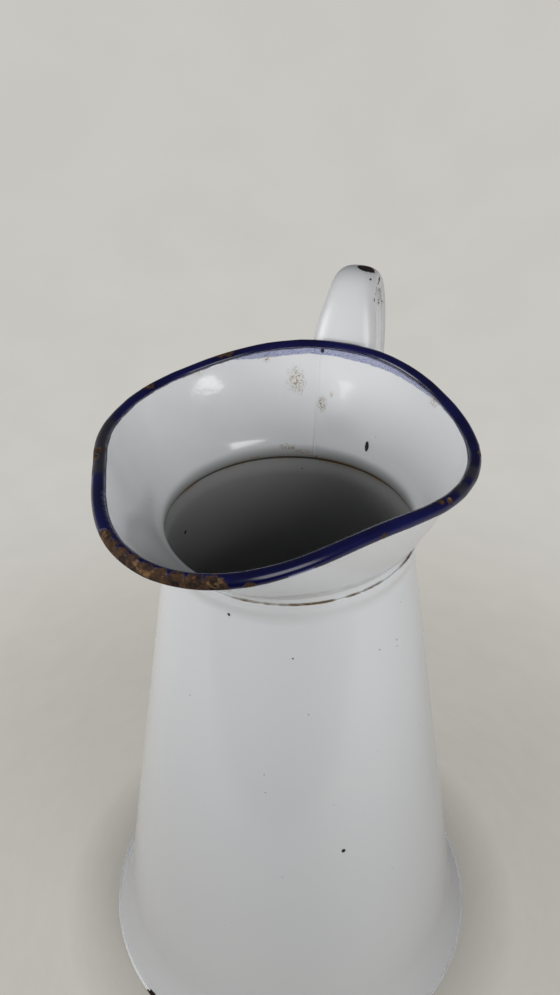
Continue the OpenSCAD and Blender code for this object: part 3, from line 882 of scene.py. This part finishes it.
def blue_enamel():
    """Cobalt glass over the rolled rim: nearly black, worn grey at the left and rusted at the spout."""
    material, tree, output = new_material("cobalt_blue_enamel")
    place = add_node(tree, "TexCoord", out="Object")
    thick = add_node(tree, "TexNoise", {"Vector": place, "Scale": 1 / (22 * MM), "Detail": 3.0}, out="Fac")
    thick = add_node(tree, "MapRange", {"Value": thick, "From Min": 0.35, "From Max": 0.65})
    tint = add_node(tree, "MixRGB", {
        "Fac": thick, "Color1": colour("#080930"), "Color2": colour("#101148")})
    finish = (tint, 0.2, dented(tree, place))

    near = near_marks(tree, place, INNER_FLANK, uneven=0.3, grain=3)
    thin = add_node(tree, "MapRange", {"Value": near, "From Min": 0.3, "From Max": 1.2, **FALLING})
    finish = lay(tree, thin, finish, colour("#454c68"), 0.3, finish[2])
    near = near_marks(tree, place, RIM_WORN, uneven=0.5, grain=3)
    worn = add_node(tree, "MapRange", {"Value": near, "From Min": 0.4, "From Max": 1.1, **FALLING})
    finish = lay(tree, worn, finish, colour("#2f2d36"), 0.5, finish[2])
    near = near_marks(tree, place, RIM_PALE, uneven=0.5, grain=0.8)
    pale = add_node(tree, "MapRange", {"Value": near, "From Min": 0.4, "From Max": 1.2, **FALLING})
    finish = lay(tree, pale, finish, colour("#7c84ad"), 0.3, finish[2])

    near = near_marks(tree, place, SPOUT_RUST + RIM_RUST, uneven=0.35, grain=2)
    bare = add_node(tree, "MapRange", {"Value": near, "From Min": 0.8, "From Max": 1.05, **FALLING})
    crust = add_node(tree, "TexNoise", {
        "Vector": place, "Scale": 1 / (5.3 * MM), "Detail": 5.0, "Roughness": 0.75}, out="Fac")
    crust = add_node(tree, "MapRange", {"Value": crust, "From Min": 0.38, "From Max": 0.62})
    rust = add_node(tree, "MixRGB", {
        "Fac": crust, "Color1": colour("#1a1411"), "Color2": colour("#5c4029")})
    bright = add_node(tree, "TexNoise", {"Vector": place, "Scale": 1 / (3 * MM), "Detail": 3.0}, out="Fac")
    bright = add_node(tree, "MapRange", {"Value": bright, "From Min": 0.58, "From Max": 0.72})
    rust = add_node(tree, "MixRGB", {"Fac": bright, "Color1": rust, "Color2": colour("#8d6c48")})
    pits = add_node(tree, "Math", {0: crust, 1: 0.25 * MM, 2: -0.3 * MM}, operation="MULTIPLY_ADD")
    finish = lay(tree, bare, finish, rust, 0.9, pits)
    finish = chip(tree, place, finish, [on_rim(-9, 10, 1.8), on_rim(2, -10, 1.4)])
    glaze(tree, output, finish, ior=1.36)
    return material


# %% [markdown]
# ## Finish of the handle
# The handle's top stands higher than all the rest, so it has taken the knock that chipped it to the steel.
# A row of small chips follows the edge of its right flank.

# %% Handle enamel
HANDLE_CHIPS = [((0.8, 98, 352), (4.8, 4.6, 3.2)), ((5, 90.4, 349.7), (0.6, 0.6, 0.6)),
                ((6.4, 100.6, 346.3), (1.2, 1.8, 1.1)), ((6.7, 98.2, 345.2), (0.9, 1.5, 0.6)),
                ((7, 95, 344.2), (0.7, 1.2, 0.4)), ((7.6, 91, 342.7), (0.6, 1.2, 0.35)),
                ((8.2, 87.4, 341.3), (0.9, 0.9, 0.9))]
HANDLE_SPECKS = [((6.5, 104, 339), (4, 5, 4)), ((5, 110, 332), (4, 5, 4)), ((3, 119, 328), (4, 4, 5))]


def handle_enamel():
    """White glass that hands have worn satin, with a large chip at the top and small ones along an edge."""
    material, tree, output = new_material("white_enamel_handle")
    place = add_node(tree, "TexCoord", out="Object")
    finish = white_glass(tree, place, hues=("#dcdddf", "#e0e0e0"), roughness=0.36)
    near = near_marks(tree, place, HANDLE_SPECKS)
    grain = add_node(tree, "TexNoise", {"Vector": place, "Scale": 1 / (1.1 * MM), "Detail": 3.0}, out="Fac")
    speck = add_node(tree, "MapRange", {"Value": grain, "From Min": 0.58, "From Max": 0.64})
    reach = add_node(tree, "MapRange", {"Value": near, "From Min": 0.3, "From Max": 1.0, **FALLING})
    speck = add_node(tree, "Math", {0: speck, 1: reach}, operation="MULTIPLY")
    finish = lay(tree, speck, finish, colour("#3a3a3f"), 0.5, finish[2])
    finish = chip(tree, place, finish, HANDLE_CHIPS)
    glaze(tree, output, finish)
    return material


# %% [markdown]
# ## Wire
# The wire shows only as a thin line in the gap under the curl. It is drawn iron, gone dull and brown.

# %% Iron wire
def iron_wire():
    """Drawn iron wire: a dull metal with brown rust in patches."""
    material, tree, output = new_material("drawn_iron_wire")
    place = add_node(tree, "TexCoord", out="Object")
    patches = add_node(tree, "TexNoise", {
        "Vector": place, "Scale": 1 / (4.5 * MM), "Detail": 4.0}, out="Fac")
    patches = add_node(tree, "MapRange", {"Value": patches, "From Min": 0.45, "From Max": 0.6})
    tint = add_node(tree, "MixRGB", {
        "Fac": patches, "Color1": colour("#7a7672"), "Color2": colour("#4a2e20")})
    bare = add_node(tree, "MapRange", {"Value": patches, "To Min": 1.0, "To Max": 0.0})
    rough = add_node(tree, "MapRange", {"Value": patches, "To Min": 0.4, "To Max": 0.85})
    surface = add_node(tree, "BsdfPrincipled", {"Base Color": tint, "Metallic": bare, "Roughness": rough})
    tree.links.new(surface, output.inputs["Surface"])
    return material


# %% Every piece gets its finish
body.material_slots[0].material = body_enamel()
body.material_slots[1].material = inside_enamel()
collar.material_slots[0].material = collar_outside()
collar.material_slots[1].material = collar_inside()
handle_white = handle_enamel()
finishes = {rim: blue_enamel(), strap: handle_white, strip: handle_white,
            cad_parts["base_pan"]: pan_enamel(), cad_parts["rim_wire"]: iron_wire()}
for piece, finish in finishes.items():
    piece.data.materials.clear()
    piece.data.materials.append(finish)
print(len(bpy.data.materials), "materials:", ", ".join(material.name for material in bpy.data.materials))
